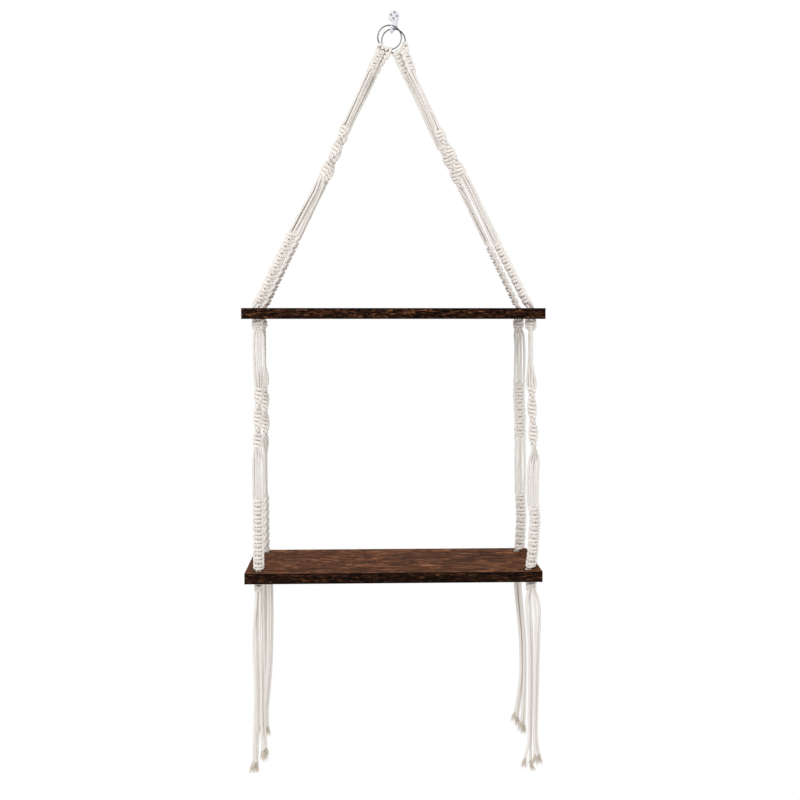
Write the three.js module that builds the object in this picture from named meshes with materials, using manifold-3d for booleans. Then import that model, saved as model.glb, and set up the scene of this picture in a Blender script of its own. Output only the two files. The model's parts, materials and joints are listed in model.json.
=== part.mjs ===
// A two-tier hanging shelf: two torched boards on four knotted cotton legs, two steel rings and a wall hook.
// Millimetres, +Z up. The origin is the centre of the hook's back face, on the wall, and the front faces -Y.
import * as THREE from "three";
import { mergeVertices } from "three/addons/utils/BufferGeometryUtils.js";
import Module from "manifold-3d";

const wasm = await Module();
wasm.setup();

// Clearances
const restGap = 0.3;
const turnGap = 0.4;
const seatGap = 0.45;
const overrun = 1.5;
const weldDistance = 1e-4;

// Cord
const cordDiameter = 4;
const cordPitch = 4.4;
const tailLength = 262;

// Boards
const boardLength = 420;
const boardDepth = 150;
const boardThickness = 15;
const holeDiameter = 13;
const holeEndInset = 18;
const holeEdgeInset = 17;
const boardWallGap = 3;
const upperBoardDrop = 435;
const clearHeight = 356;

// Wall hook
const hookHeadRadius = 8.3;
const hookHeadThickness = 7;
const hookHeadRounding = 1.6;
const hookBarRadius = 2.4;
const hookSide = 4;
const hookReach = 15.8;
const hookDrop = 24.9;
const rearSeatShares = [1, 0.56, 1];
const frontSeatShares = [1, 0.84, 0.92];
const hookPathShares = [
  [0, 0.25, 0.2],
  [0.15, 0.24, 0.56],
  [0.65, 0.29, 0.84],
  rearSeatShares,
  frontSeatShares,
  [1, 1, 0.78],
];

// Nails
const nailCircleRadius = 4.4;
const nailTurn = 10;
const nailShankRadius = 0.8;
const nailHeadRadius = 1.5;
const nailHeadThickness = 0.7;
const nailCount = 4;

// Rings
const ringRadius = 17.5;
const wireRadius = 1;
const ringLean = 14;

// Lark's heads
const headCordThickness = 3.2;
const headWidth = 7.6;
const headStubDepth = 7.5;

// How far the whole shelf can be pulled away from the wall, in degrees
const pullRange = 12;

// Knotted legs
const legTopPitch = 12;
const legTopDepth = 6;
const topKnobRadius = 4;
const topSennit = { length: 28, width: 10.4, thickness: 8.4, knots: 2 };
const upperSennit = { width: 14.3, thickness: 9.5, knots: 10 };
const middleSennit = { width: 17.5, thickness: 9.5, knots: 8 };
const flatSennit = { width: 14.8, thickness: 9, knots: 7 };
const upperStrandLength = 105;
const upperSpiralLength = 74;
const lowerStrandLength = 99;
const spiralWidth = 14.5;
const spiralThickness = 9;
const spiralHalfTurn = 35;
const middleStrandLength = 80;
const middleSpiralLength = 84;
const middleSpiralWidth = 16.5;
const middleLowStrandLength = 73;
const lowSennitShift = 12;
const footKnobRadius = 8.75;
const footKnobDepth = 12;
const stopperRadius = 9;
const stopperHeight = 15;

// How far a knot's notches and full width lie along its length and across it
const knotAlongShares = [0, 0.5];
const knotAcrossShares = [0.78, 1];
const spiralCornerShare = 0.45;

// Tails: how far down they have a bend, as shares of their length, and how far in front of the leg's centre they hang
const tailShares = [0, 0.06, 0.143, 0.286, 0.429, 0.571, 0.714, 0.857, 1];
const tailRows = [2.5, -2.5, 2.5, -2.5];

// side and row place a leg on the boards, order places it under the rings, and angle is where it holds its ring.
// turn is how far its knots above the boards face sideways, and face the cords under the upper board. winds tells a
// spiral from a flat middle, and shift is how much lower its last knots start. tails has each tail's bends,
// sideways from the leg's centre, and cuts how much each tail is cut short.
const legs = [
  {
    name: "front_left", side: -1, row: -1, order: -2, ring: "left", angle: -42, turn: 0, face: 0, winds: true, shift: 0,
    tails: [
      [-2.4, -5.6, -7.4, -7.8, -6.4, -6, -7.2, -8.6, -10.5],
      [-2.4, -2.6, -3, -3.2, -2.4, -2, -3, -4.6, -6],
      [2.4, 1.9, 1.5, 1.2, 2, 2.4, 2, 2.6, 3.6],
      [2.4, 4.8, 5.6, 6, 6.2, 6, 5.8, 6.6, 8.4],
    ],
    cuts: [9, 7, 24, 26],
  },
  {
    name: "rear_left", side: -1, row: 1, order: -1, ring: "left", angle: -6, turn: 90, face: 90, winds: true,
    shift: lowSennitShift,
    tails: [
      [-2.4, -4, -4.6, -5.2, -5.8, -7, -9, -11, -12],
      [-2.4, -2, -1.6, -2, -2.6, -3.8, -6, -8, -8.4],
      [2.4, 2, 1.8, 1.6, 1.2, 0, -2.6, -5.4, -5],
      [2.4, 4.4, 4.8, 4.8, 4.6, 3.6, 1.2, -1.4, -0.6],
    ],
    cuts: [12, 16, 4, 7],
  },
  {
    name: "rear_right", side: 1, row: 1, order: 0.5, ring: "right", angle: 30, turn: 0, face: 0, winds: false,
    shift: lowSennitShift,
    tails: [
      [-2.4, -2.4, -1, 1.8, 4.8, 5.1, 2.8, -1.8, -6],
      [-2.4, 0.4, 2.6, 5.6, 8.4, 9, 7.4, 3.6, 0],
      [2.4, 3.8, 5.6, 8.8, 11.8, 12.8, 11.8, 8.8, 5.6],
      [2.4, 6.2, 8, 11.6, 15, 16.2, 15.8, 13.8, 11.4],
    ],
    cuts: [27, 17, 11, 4],
  },
  {
    name: "front_right", side: 1, row: -1, order: 1.5, ring: "right", angle: 66, turn: 0, face: 80, winds: true,
    shift: lowSennitShift,
    tails: [
      [-2.4, -5, -2.6, 0.8, 1.7, 2.1, 0.7, -0.5, -9],
      [-2.4, 0.6, 2.6, 4.6, 5, 5.4, 4.4, 4, 5.6],
      [2.4, 5, 7.4, 8, 8.2, 8.4, 8, 9, 13],
      [2.4, 10.5, 12.9, 11.3, 11.4, 11.6, 11.9, 13.6, 20],
    ],
    cuts: [12, 6, 19, 17],
  },
];

// Facets
const cordSides = 8;
const strandSides = 6;
const tailSteps = 22;
const roundSides = 16;
const knobSides = 10;
const knobRows = 6;
const spiralSides = 8;
const spiralStep = 9;
const hookSteps = 12;
const ringSteps = 24;
const wireSides = 6;
const trackPoints = 120;
const seatHalvings = 16;

const cotton = new THREE.MeshStandardMaterial({ color: 0xe9e0d0, roughness: 0.95, metalness: 0 });
const torchedWood = new THREE.MeshStandardMaterial({ color: 0x5f3c2a, roughness: 0.6, metalness: 0 });
const ringSteel = new THREE.MeshStandardMaterial({ color: 0xb9bbc0, roughness: 0.2, metalness: 1 });
const nailSteel = new THREE.MeshStandardMaterial({ color: 0x8d9096, roughness: 0.35, metalness: 1 });
const hookPlastic = new THREE.MeshStandardMaterial({ color: 0xf2f2f0, roughness: 0.4, metalness: 0 });

const shelf = new THREE.Group();
const degree = Math.PI / 180;
const lowerBoardDrop = upperBoardDrop + boardThickness + clearHeight;
const boardBack = -boardWallGap;
const boardFront = boardBack - boardDepth;
const boardMiddle = (boardBack + boardFront) / 2;
const cordRadius = cordDiameter / 2;

function vector(x, y, z) {
  return new THREE.Vector3(x, y, z);
}

// A closed geometry as a solid that can be joined and cut.
function solidOf(geometry) {
  const bare = geometry.index ? geometry.toNonIndexed() : geometry.clone();
  bare.deleteAttribute("normal");
  bare.deleteAttribute("uv");
  const merged = mergeVertices(bare, weldDistance);
  const vertProperties = merged.attributes.position.array;
  const triVerts = new Uint32Array(merged.index.array);
  return new wasm.Manifold(new wasm.Mesh({ numProp: 3, vertProperties, triVerts }));
}

function joined(geometries) {
  return geometries.map(solidOf).reduce((whole, next) => whole.add(next));
}

function addPiece(name, solid, material) {
  const mesh = solid.getMesh();
  const geometry = new THREE.BufferGeometry();
  geometry.setAttribute("position", new THREE.BufferAttribute(new Float32Array(mesh.vertProperties), 3));
  geometry.setIndex(new THREE.BufferAttribute(new Uint32Array(mesh.triVerts), 1));
  geometry.computeVertexNormals();
  const piece = new THREE.Mesh(geometry, material);
  piece.name = name;
  shelf.add(piece);
}

function box(size, centre) {
  return new THREE.BoxGeometry(size.x, size.y, size.z).translate(centre.x, centre.y, centre.z);
}

function ball(radii, centre) {
  const ball = new THREE.SphereGeometry(1, knobSides, knobRows).rotateX(Math.PI / 2);
  return ball.scale(radii.x, radii.y, radii.z).translate(centre.x, centre.y, centre.z);
}

// A cylinder from one point to another.
function rod(radius, from, to, sides) {
  const along = to.clone().sub(from);
  const rod = new THREE.CylinderGeometry(radius, radius, along.length(), sides);
  const turn = new THREE.Quaternion().setFromUnitVectors(vector(0, 1, 0), along.clone().normalize());
  const middle = from.clone().add(to).divideScalar(2);
  return rod.applyMatrix4(new THREE.Matrix4().compose(middle, turn, vector(1, 1, 1)));
}

function tube(radius, curve, sides, steps) {
  const section = new THREE.Shape();
  for (let i = 0; i < sides; i += 1) {
    const angle = (2 * Math.PI * i) / sides;
    const point = [radius * Math.cos(angle), radius * Math.sin(angle)];
    if (i) section.lineTo(...point);
    else section.moveTo(...point);
  }
  return new THREE.ExtrudeGeometry(section, { steps, extrudePath: curve, bevelEnabled: false });
}

// Wall hook
function hookPoint([side, reach, drop]) {
  return vector(-hookSide * side, -hookReach * reach, -hookDrop * drop);
}

const hookPoints = hookPathShares.map(hookPoint);
const hookCurve = new THREE.CatmullRomCurve3(hookPoints);
const lastHookPoint = hookPoints.length - 1;

function nailPlace(i) {
  const angle = (nailTurn + (360 * i) / nailCount) * degree;
  return { x: nailCircleRadius * Math.sin(angle), z: nailCircleRadius * Math.cos(angle) };
}

function hookHead() {
  const r = hookHeadRadius;
  const t = hookHeadThickness;
  const c = hookHeadRounding;
  const outline = [[0, 0], [r, 0], [r, t - c], [r - c / 3, t - c / 3], [r - c, t], [0, t]];
  const points = outline.map(([x, y]) => new THREE.Vector2(x, y));
  return new THREE.LatheGeometry(points, 2 * knobSides).rotateX(Math.PI);
}

function addHook() {
  const tip = hookPoints[lastHookPoint];
  const tipRadii = vector(hookBarRadius, hookBarRadius, hookBarRadius);
  const bar = tube(hookBarRadius, hookCurve, knobSides, hookSteps);
  let hook = joined([hookHead(), bar, ball(tipRadii, tip)]);
  for (let i = 0; i < nailCount; i += 1) {
    const { x, z } = nailPlace(i);
    const hole = rod(
      nailShankRadius + restGap,
      vector(x, overrun, z),
      vector(x, -hookHeadThickness - overrun, z),
      knobSides,
    );
    hook = hook.subtract(solidOf(hole));
  }
  addPiece("wall_hook", hook, hookPlastic);
}

function addNail(i) {
  const { x, z } = nailPlace(i);
  const face = -hookHeadThickness - restGap;
  const shank = rod(nailShankRadius, vector(x, -restGap, z), vector(x, face - nailHeadThickness / 2, z), knobSides);
  const head = rod(nailHeadRadius, vector(x, face, z), vector(x, face - nailHeadThickness, z), knobSides);
  addPiece("nail_" + (i + 1), joined([shank, head]), nailSteel);
}

// Rings: each hangs on the hook's bar, as low as its wire can, and leans towards the legs that it carries.
const hookTrack = hookCurve.getPoints(trackPoints);

function wireClearance(centre) {
  let nearest = Infinity;
  for (let i = 0; i < trackPoints; i += 1) {
    const angle = (2 * Math.PI * i) / trackPoints;
    const wire = vector(Math.sin(angle), 0, Math.cos(angle)).multiplyScalar(ringRadius).add(centre);
    for (const bar of hookTrack) nearest = Math.min(nearest, wire.distanceTo(bar));
  }
  return nearest - hookBarRadius - wireRadius;
}

function ringPlace(seatShares, side) {
  const seat = hookPoint(seatShares);
  const lean = vector(side * Math.sin(ringLean * degree), 0, -Math.cos(ringLean * degree));
  let high = 0;
  let low = ringRadius;
  for (let i = 0; i < seatHalvings; i += 1) {
    const middle = (high + low) / 2;
    if (wireClearance(seat.clone().addScaledVector(lean, middle)) > seatGap) high = middle;
    else low = middle;
  }
  return { centre: seat.clone().addScaledVector(lean, high) };
}

const rings = { left: ringPlace(frontSeatShares, -1), right: ringPlace(rearSeatShares, 1) };

function ringSolid(ring, radius) {
  const torus = new THREE.TorusGeometry(ringRadius, radius, wireSides, ringSteps).rotateX(Math.PI / 2);
  return solidOf(torus.translate(ring.centre.x, ring.centre.y, ring.centre.z));
}

// Lark's heads: the loops of each leg round its ring, down to where the leg starts.
const headRadius = wireRadius + headCordThickness;

function headCentre(leg) {
  const { centre } = rings[leg.ring];
  const angle = leg.angle * degree;
  return vector(centre.x + ringRadius * Math.sin(angle), centre.y, centre.z - ringRadius * Math.cos(angle));
}

const pivotY = rings.left.centre.y - legTopDepth / 2;
const lowestHead = Math.min(...legs.map((leg) => headCentre(leg).z)) - headRadius;
const pullRise = (legTopDepth / 2) * Math.sin(pullRange * degree);
const pivotZ = lowestHead - restGap - pullRise - topKnobRadius;

function legTop(leg) {
  return vector(leg.order * legTopPitch, pivotY + (leg.row * legTopDepth) / 2, pivotZ);
}

function addLarksHead(leg) {
  const centre = headCentre(leg);
  const angle = leg.angle * degree;
  const half = vector(Math.cos(angle), 0, Math.sin(angle)).multiplyScalar(headWidth / 2);
  const loops = rod(headRadius, centre.clone().sub(half), centre.clone().add(half), knobSides);
  const top = legTop(leg);
  const end = vector(top.x, top.y, lowestHead);
  const bend = vector(end.x, end.y, (centre.z + end.z) / 2);
  const path = new THREE.QuadraticBezierCurve3(centre, bend, end);
  const stub = tube(headStubDepth / 2, path, cordSides, cordSides / 2);
  let head = solidOf(loops).add(solidOf(stub));
  for (const ring of Object.values(rings)) head = head.subtract(ringSolid(ring, wireRadius + restGap));
  addPiece("larks_head_" + leg.name, head, cotton);
}

// A leg's own axes: x across it, y down it and z through it.
function legFrame(top, bottom, turn) {
  const down = bottom.clone().sub(top).normalize();
  const through = vector(0, 1, 0).addScaledVector(down, -down.y).normalize();
  through.applyAxisAngle(down, turn * degree);
  const across = down.clone().cross(through);
  return new THREE.Matrix4().makeBasis(across, down, through).setPosition(top);
}

// Square knots in a row: a flat bar with a notch between each knot and the next.
function sennit({ width, thickness, knots }, from, length) {
  const half = width / 2;
  const step = length / knots;
  const right = [];
  for (let i = 0; i < knots; i += 1)
    knotAlongShares.forEach((along, k) => right.push([half * knotAcrossShares[k], from + step * (i + along)]));
  right.push([half * knotAcrossShares[0], from + length]);
  const left = right.map(([x, y]) => [-x, y]).reverse();
  const outline = new THREE.Shape([...right, ...left].map(([x, y]) => new THREE.Vector2(x, y)));
  return new THREE.ExtrudeGeometry(outline, { depth: thickness, bevelEnabled: false }).translate(0, 0, -thickness / 2);
}

// Half knots in a row wind round the cords inside them: an oblong section that turns as it goes down.
function spiral(width, thickness, from, length) {
  const steps = Math.round(length / spiralStep);
  const points = [];
  const faces = [];
  for (let i = 0; i <= steps; i += 1) {
    const down = (length * i) / steps;
    const turn = (Math.PI * down) / spiralHalfTurn;
    for (let k = 0; k < spiralSides; k += 1) {
      const angle = (2 * Math.PI * (k + 1 / 2)) / spiralSides;
      const corner = vector(Math.cos(angle) * width, 0, Math.sin(angle) * thickness).multiplyScalar(1 / 2);
      corner.multiplyScalar(1 + spiralCornerShare * Math.abs(Math.sin(2 * angle)) / 4);
      corner.applyAxisAngle(vector(0, 1, 0), turn);
      points.push(corner.x, from + down, corner.z);
    }
  }
  for (let i = 0; i < steps; i += 1)
    for (let k = 0; k < spiralSides; k += 1) {
      const a = i * spiralSides + k;
      const b = i * spiralSides + ((k + 1) % spiralSides);
      faces.push(a, a + spiralSides, b, b, a + spiralSides, b + spiralSides);
    }
  const last = steps * spiralSides;
  for (let k = 1; k < spiralSides - 1; k += 1) {
    faces.push(0, k, k + 1);
    faces.push(last, last + k + 1, last + k);
  }
  const geometry = new THREE.BufferGeometry();
  geometry.setAttribute("position", new THREE.BufferAttribute(new Float32Array(points), 3));
  geometry.setIndex(faces);
  return geometry;
}

// The leg's cords between two knotted stretches, side by side or as a square bundle.
function strands(places, from, length) {
  return places.map(([x, z]) => {
    const top = vector(x, from, z);
    return rod(cordRadius, top, vector(x, from + length, z), strandSides);
  });
}

const bundle = [[-1, -1], [1, -1], [-1, 1], [1, 1]].map((at) => at.map((side) => (side * cordPitch) / 2));
const row = [-3, -1, 1, 3].map((side) => [(side * cordPitch) / 2, 0]);

function holePlace(leg) {
  const x = -hookSide + leg.side * (boardLength / 2 - holeEndInset);
  return { x, y: boardMiddle + leg.row * (boardDepth / 2 - holeEdgeInset) };
}

function addUpperLeg(leg) {
  const top = legTop(leg);
  const { x, y } = holePlace(leg);
  const foot = vector(x, y, -upperBoardDrop);
  const length = foot.distanceTo(top);
  const straight = legFrame(top, foot, 0);
  const turned = legFrame(top, foot, leg.turn);
  const strandsFrom = topSennit.length;
  const spiralFrom = strandsFrom + upperStrandLength;
  const lowFrom = spiralFrom + upperSpiralLength;
  const sennitFrom = lowFrom + lowerStrandLength;
  const pieces = [
    sennit(topSennit, 0, topSennit.length),
    ...strands(bundle, strandsFrom - overrun, upperStrandLength + 2 * overrun),
    spiral(spiralWidth, spiralThickness, spiralFrom, upperSpiralLength),
    ...strands(bundle, lowFrom - overrun, lowerStrandLength + 2 * overrun),
  ].map((piece) => piece.applyMatrix4(straight));
  pieces.push(ball(vector(topSennit.width / 2, topKnobRadius, topKnobRadius), top));
  pieces.push(sennit(upperSennit, sennitFrom, length + upperSennit.width - sennitFrom).applyMatrix4(turned));
  const below = 2 * upperSennit.width;
  const ground = box(vector(2 * below, 2 * below, below), vector(x, y, foot.z + restGap - below / 2));
  addPiece("upper_leg_" + leg.name, joined(pieces).subtract(solidOf(ground)), cotton);
}

// The knot under a board is round below, so that what hangs from it can swing about its centre.
function stopperCentre(leg, boardDrop) {
  const { x, y } = holePlace(leg);
  return vector(x, y, -boardDrop - boardThickness - restGap - (stopperHeight - stopperRadius));
}

function addStopper(leg, tier, boardDrop) {
  const centre = stopperCentre(leg, boardDrop);
  const top = centre.z + stopperHeight - stopperRadius;
  const size = 3 * stopperRadius;
  const knot = ball(vector(stopperRadius, stopperRadius, stopperRadius), centre);
  const above = box(vector(size, size, size), vector(centre.x, centre.y, top + size / 2));
  const plugTop = vector(centre.x, centre.y, -boardDrop);
  const plug = rod(holeDiameter / 2 - restGap, centre, plugTop, roundSides);
  addPiece(tier + "_stopper_" + leg.name, solidOf(knot).subtract(solidOf(above)).add(solidOf(plug)), cotton);
}

function addMiddleLeg(leg) {
  const pivot = stopperCentre(leg, upperBoardDrop);
  const foot = vector(pivot.x, pivot.y, -lowerBoardDrop + turnGap + footKnobRadius);
  const length = pivot.distanceTo(foot);
  const from = stopperRadius + turnGap;
  const spiralFrom = from + middleStrandLength;
  const lowFrom = spiralFrom + middleSpiralLength;
  const sennitFrom = lowFrom + middleLowStrandLength + leg.shift;
  const upperHalf = [
    ...strands(row, from, middleStrandLength + overrun),
    leg.winds
      ? spiral(middleSpiralWidth, spiralThickness, spiralFrom, middleSpiralLength)
      : sennit(flatSennit, spiralFrom, middleSpiralLength),
  ];
  const lowerHalf = [
    ...strands(row, lowFrom - overrun, sennitFrom - lowFrom + 2 * overrun),
    sennit(middleSennit, sennitFrom, length - sennitFrom),
  ];
  const pieces = [
    ...upperHalf.map((piece) => piece.applyMatrix4(legFrame(pivot, foot, leg.face))),
    ...lowerHalf.map((piece) => piece.applyMatrix4(legFrame(pivot, foot, leg.turn))),
    ball(vector(footKnobRadius, footKnobDepth / 2, footKnobRadius), foot),
  ];
  addPiece("middle_leg_" + leg.name, joined(pieces), cotton);
}

function addTail(leg, i) {
  const centre = stopperCentre(leg, lowerBoardDrop);
  const length = tailLength - leg.cuts[i];
  const top = centre.z - stopperRadius - restGap;
  const points = leg.tails[i].map((x, k) => vector(centre.x + x, centre.y - tailRows[i], top - length * tailShares[k]));
  const curve = new THREE.CatmullRomCurve3(points);
  addPiece("tail_" + leg.name + "_" + (i + 1), solidOf(tube(cordRadius, curve, cordSides, tailSteps)), cotton);
}

function addBoard(name, drop) {
  const outline = new THREE.Shape();
  const half = boardLength / 2;
  outline.moveTo(-hookSide - half, boardFront);
  outline.lineTo(-hookSide + half, boardFront);
  outline.lineTo(-hookSide + half, boardBack);
  outline.lineTo(-hookSide - half, boardBack);
  const slab = new THREE.ExtrudeGeometry(outline, { depth: boardThickness, bevelEnabled: false });
  let board = solidOf(slab.translate(0, 0, -drop - boardThickness));
  for (const leg of legs) {
    const { x, y } = holePlace(leg);
    const top = vector(x, y, -drop + overrun);
    const hole = rod(holeDiameter / 2, top, vector(x, y, -drop - boardThickness - overrun), roundSides);
    board = board.subtract(solidOf(hole));
  }
  addPiece(name, board, torchedWood);
}

addHook();
for (let i = 0; i < nailCount; i += 1) addNail(i);
addPiece("ring_left", ringSolid(rings.left, wireRadius), ringSteel);
addPiece("ring_right", ringSolid(rings.right, wireRadius), ringSteel);
addBoard("upper_board", upperBoardDrop);
addBoard("lower_board", lowerBoardDrop);
for (const leg of legs) {
  addLarksHead(leg);
  addUpperLeg(leg);
  addStopper(leg, "upper", upperBoardDrop);
  addMiddleLeg(leg);
  addStopper(leg, "lower", lowerBoardDrop);
  for (let i = 0; i < leg.tails.length; i += 1) addTail(leg, i);
}

export default shelf;
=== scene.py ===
# Looks of the two-tier hanging rope shelf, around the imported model's frame.
import json
import math

import bpy
import numpy as np
from mathutils import Matrix, Vector


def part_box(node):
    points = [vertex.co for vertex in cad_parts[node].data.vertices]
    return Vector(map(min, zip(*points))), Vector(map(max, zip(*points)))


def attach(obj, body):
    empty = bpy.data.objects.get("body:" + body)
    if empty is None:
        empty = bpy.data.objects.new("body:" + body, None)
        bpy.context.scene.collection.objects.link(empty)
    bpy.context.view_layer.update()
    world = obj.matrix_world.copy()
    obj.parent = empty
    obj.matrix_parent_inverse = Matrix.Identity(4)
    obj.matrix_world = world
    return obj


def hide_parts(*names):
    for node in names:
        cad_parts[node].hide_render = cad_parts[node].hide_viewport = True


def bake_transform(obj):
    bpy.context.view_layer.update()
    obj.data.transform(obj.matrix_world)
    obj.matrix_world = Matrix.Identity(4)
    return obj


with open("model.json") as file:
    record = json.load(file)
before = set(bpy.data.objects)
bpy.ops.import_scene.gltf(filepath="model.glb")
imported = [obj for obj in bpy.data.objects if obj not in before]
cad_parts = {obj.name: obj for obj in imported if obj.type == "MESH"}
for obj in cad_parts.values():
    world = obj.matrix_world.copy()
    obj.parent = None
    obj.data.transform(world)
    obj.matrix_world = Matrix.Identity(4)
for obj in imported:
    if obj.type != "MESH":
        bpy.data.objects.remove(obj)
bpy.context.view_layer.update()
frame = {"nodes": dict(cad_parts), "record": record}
joints = {joint["name"]: joint for joint in frame["record"]["behaviour"]["joints"]}
random = np.random.default_rng(20)

# Cords, rings and hook are in millimetres until a mesh is made. Camera, lamp and floor are in metres.
MM = 0.001

# Cord
CORD_RADIUS = 2.0
TAIL_RADIUS = 2.2
KNOT_RADIUS = 1.9
HEAD_RADIUS = 1.55
ROPE_LAY = 10.5
ROPE_SIDES = 12
ROPE_LOBES = 3
LOBE_DEPTH = 0.07
UPPER_LOBE_DEPTH = 0.02
ROPE_STEP = 1.5
CURVE_SAMPLES = 12
SAME_POINT = 1e-6
NO_CORD_HEADING = (0.31, 0.83, 0.46)
THREAD_SHIFT = 400

# Frayed ends, which take the place of the cord for a share of their length
FRAY_LENGTH = 16.0
FRAY_SPREAD = 4.6
FRAY_ROOT = 3.0
FRAY_CUT_SHARE = 0.7
FRAY_FLATNESS = 0.7
FIBRES = 46
FIBRE_POINTS = 7
FIBRE_SIDES = 4
FIBRE_LAY = 400.0
FIBRE_RADII = (0.42, 0.16)
FIBRE_PLACES = (0.2, 1.7)
FIBRE_SPREADS = (0.1, 1.0)
FIBRE_LENGTHS = (0.55, 1.0)
FIBRE_FLARE = 1.4
FIBRE_CURL = 0.8
FIBRE_LEAN = 0.25

# Knots: a square knot is two half knots, each with a bar in front and a bar behind
HALF_SAMPLES = 14
BAR_DEPTH = 3.0
BAR_SWELL = 0.7
SIDE_DEPTH = 1.4
CROSSING_RISE = 0.25
PAIR_SHIFT = 0.55
FLAT_DEPTH = 2.2
HALF_KNOT_SLANT = 0.9
FILLER_OFFSET = 2.15
FILLER_RADIUS = 2.1
KNOT_PITCH = 11.4

# Loose strands between knots, with the shares of their sway that wave along them or lie fore and aft
STRAND_SHARES = (0.04, 0.96)
STRAND_POINTS = 24
UPPER_SWAY = 1.3
MIDDLE_SWAY = 0.7
WAVE_SHARE = 1 / 3
WAVE_STARTS = (0, 6)
FORE_SHARE = 1 / 2

# Stretches of an upper leg, measured down from its top
TOP_KNOTS_FROM = -7.5
TOP_KNOT_COUNT = 3
TOP_KNOT_WIDTH = 14.4
UPPER_KNOT_WIDTH = 14.8
SPIRAL_WIDTH = 16.4
SPIRAL_HALF_KNOTS = 14
UPPER_FOOT_ROOM = 7.0

# Stretches of a middle leg, measured down from its pivot in the knot under the upper board
MIDDLE_STRANDS_FROM = 14.0
MIDDLE_SPIRAL_FROM = 89.0
MIDDLE_SPIRAL_END = 174.0
MIDDLE_SPIRAL_WIDTH = 16.0
MIDDLE_SPIRAL_HALF_KNOTS = 16
FLAT_STRETCH_WIDTH = 19.0
FLAT_STRETCH_KNOTS = 8
MIDDLE_KNOT_WIDTH = 17.0
MIDDLE_FOOT_ROOM = -1.0

# Where a middle leg's cords start: shares of their place across and through, depth, and share of their splay
MIDDLE_ROOT = ((0.35, 0.35, -1.0, 1.0), (0.45, 1.0, 6.0, 0.8), (0.8, 1.0, 12.0, 0.0))
ROOT_SPLAY = (-1.4, 1.4, -1.4, 1.4)

# A middle leg's rounded foot, which stays clear of the board while the shelf sways
TIP_SHARE = 0.2
TIP_ABOVE_FOOT = 4.0
FOOT_CORNER = 5
FOOT_NARROWING = 0.5
FOOT_SWELL = 0.35
BOARD_GAP = 0.2
SWAY = math.radians(15)

# Knots under the boards. Their cords start in the hole, and end at shares of their last place, with a drop.
STOPPER_FROM = {"upper": 2.4, "lower": 4.6}
PLUG_BELOW_TOP = {"upper": 6.0, "lower": 0.3}
STOPPER_PITCH = 10.5
UPPER_STOPPER_WIDTH = 17.6
STOPPER_TURN = 14
STOPPER_TILT = 9
STOPPER_END_SHARES = (0.45, 1, 0.6, 1)
STOPPER_END_DROP = (0, 1.5, 0, 0)
STOPPER_ENTRY = -1.5

# Where the cords lie between knots: two and two, or side by side
BUNDLE = [(-3.2, -1.2), (-1.1, 2.3), (1.1, -2.3), (3.2, 1.2)]
WIDE_ROW = [(-5.2, -0.8), (-1.8, 0.8), (1.8, -0.8), (5.2, 0.8)]
ROW = [(-6.5, 0.4), (-2.2, -0.3), (2.2, 0.3), (6.5, -0.4)]

# Where they lie in a board's hole, and their way into it: share of that place, height over the board's top
IN_HOLE = [(-2.2, -2.2), (-2.2, 2.2), (2.2, 2.2), (2.2, -2.2)]
STOPPER_ORDER = (0, 1, 3, 2)
HOLE_ROUTE = ((1.2, 1.5), (1.0, -2.0), (1.0, -8.0))
HOLE_CLEAR_RADIUS = 4.5

# Leg tops under the rings
LEG_TOP_PITCH = 12.0
LEG_TOP_DEPTH = 6.0

# Rings
WIRE_RADIUS = 1.0
WIRE_SIDES = 16
RING_STEPS = 96

# Cords round a ring's wire, each point forward of it and outward, both in gaps and millimetres more
WRAP_ANGLE = 9.4
WRAPS = (-1.5, -0.5, 0.5, 1.5)
WRAP_POINTS = {
    "up": (1, 0.7, 0, 1.2),
    "front": (1, 0, 0, -0.8),
    "over": (0, 0, -1, 0),
    "back": (-1, 0, 0, 0),
    "under": (0, -1.0, 1, 0.6),
    "bar": (1, 0.9, 1, 1.0),
}

# Hook: its head, and its stem as places with half their width
HOOK_HEAD_RADIUS = 8.3
HOOK_HEAD_THICKNESS = 7.0
HOOK_HEAD_ROUNDING = 1.6
HOOK_HEAD_CORNER = range(0, 91, 15)
HOOK_BAR_RADIUS = 2.4
HOOK_SIDES = 40
HOOK_TIP_ROWS = 6
HOOK_STEM = [((1.4, -3.95, -4.0), 5.6), ((1.1, -3.8, -13.9), 4.6), ((-2.0, -4.6, -20.9), 3.1),
             ((-4.0, -8.85, -24.9), 2.4), ((-4.0, -13.27, -22.9), 2.4), ((-4.0, -15.8, -19.42), 2.4)]

# Tails: their places fore and aft, the shares of their length at which LEGS gives their places sideways,
# and how far they start from the middle of their hole towards the first of those
TAIL_LENGTH = 262.0
TAIL_ROWS = (-2.5, 2.5, -2.5, 2.5)
TAIL_SHARES = (0, 0.06, 0.143, 0.286, 0.429, 0.571, 0.714, 0.857, 1)
TAIL_ROOT_SHARES = (0.5, 0.5, 0.2)
TAIL_HEADING_POINTS = 3

# Edges that are eased, in metres and degrees, and how bright the charred sides' streaks are
BOARD_EDGE = (0.0008, 40)
NAIL_EDGE = (0.0002, 50)
EDGE_SEGMENTS = 2
NAIL_COUNT = 4
UPPER_STREAKS = 1.0
LOWER_STREAKS = 0.62

# Camera, as fitted to the photograph
CAMERA_PLACE = (-0.042, -1.568, -0.4495)
CAMERA_YAW = math.radians(1.87)
CAMERA_PITCH = math.radians(4.55)
CAMERA_SENSOR = 36.0
FOCAL_PIXELS = 1023.0
FRAME_PIXELS = 800.0

# Floor and light
FLOOR_CORNERS = [(-3, -3.4, -1.9), (3, -3.4, -1.9), (3, 1.35, -1.9), (-3, 1.35, -1.9)]
WORLD_LIGHT = 0.92
WORLD_WHITE = 1.0

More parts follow.
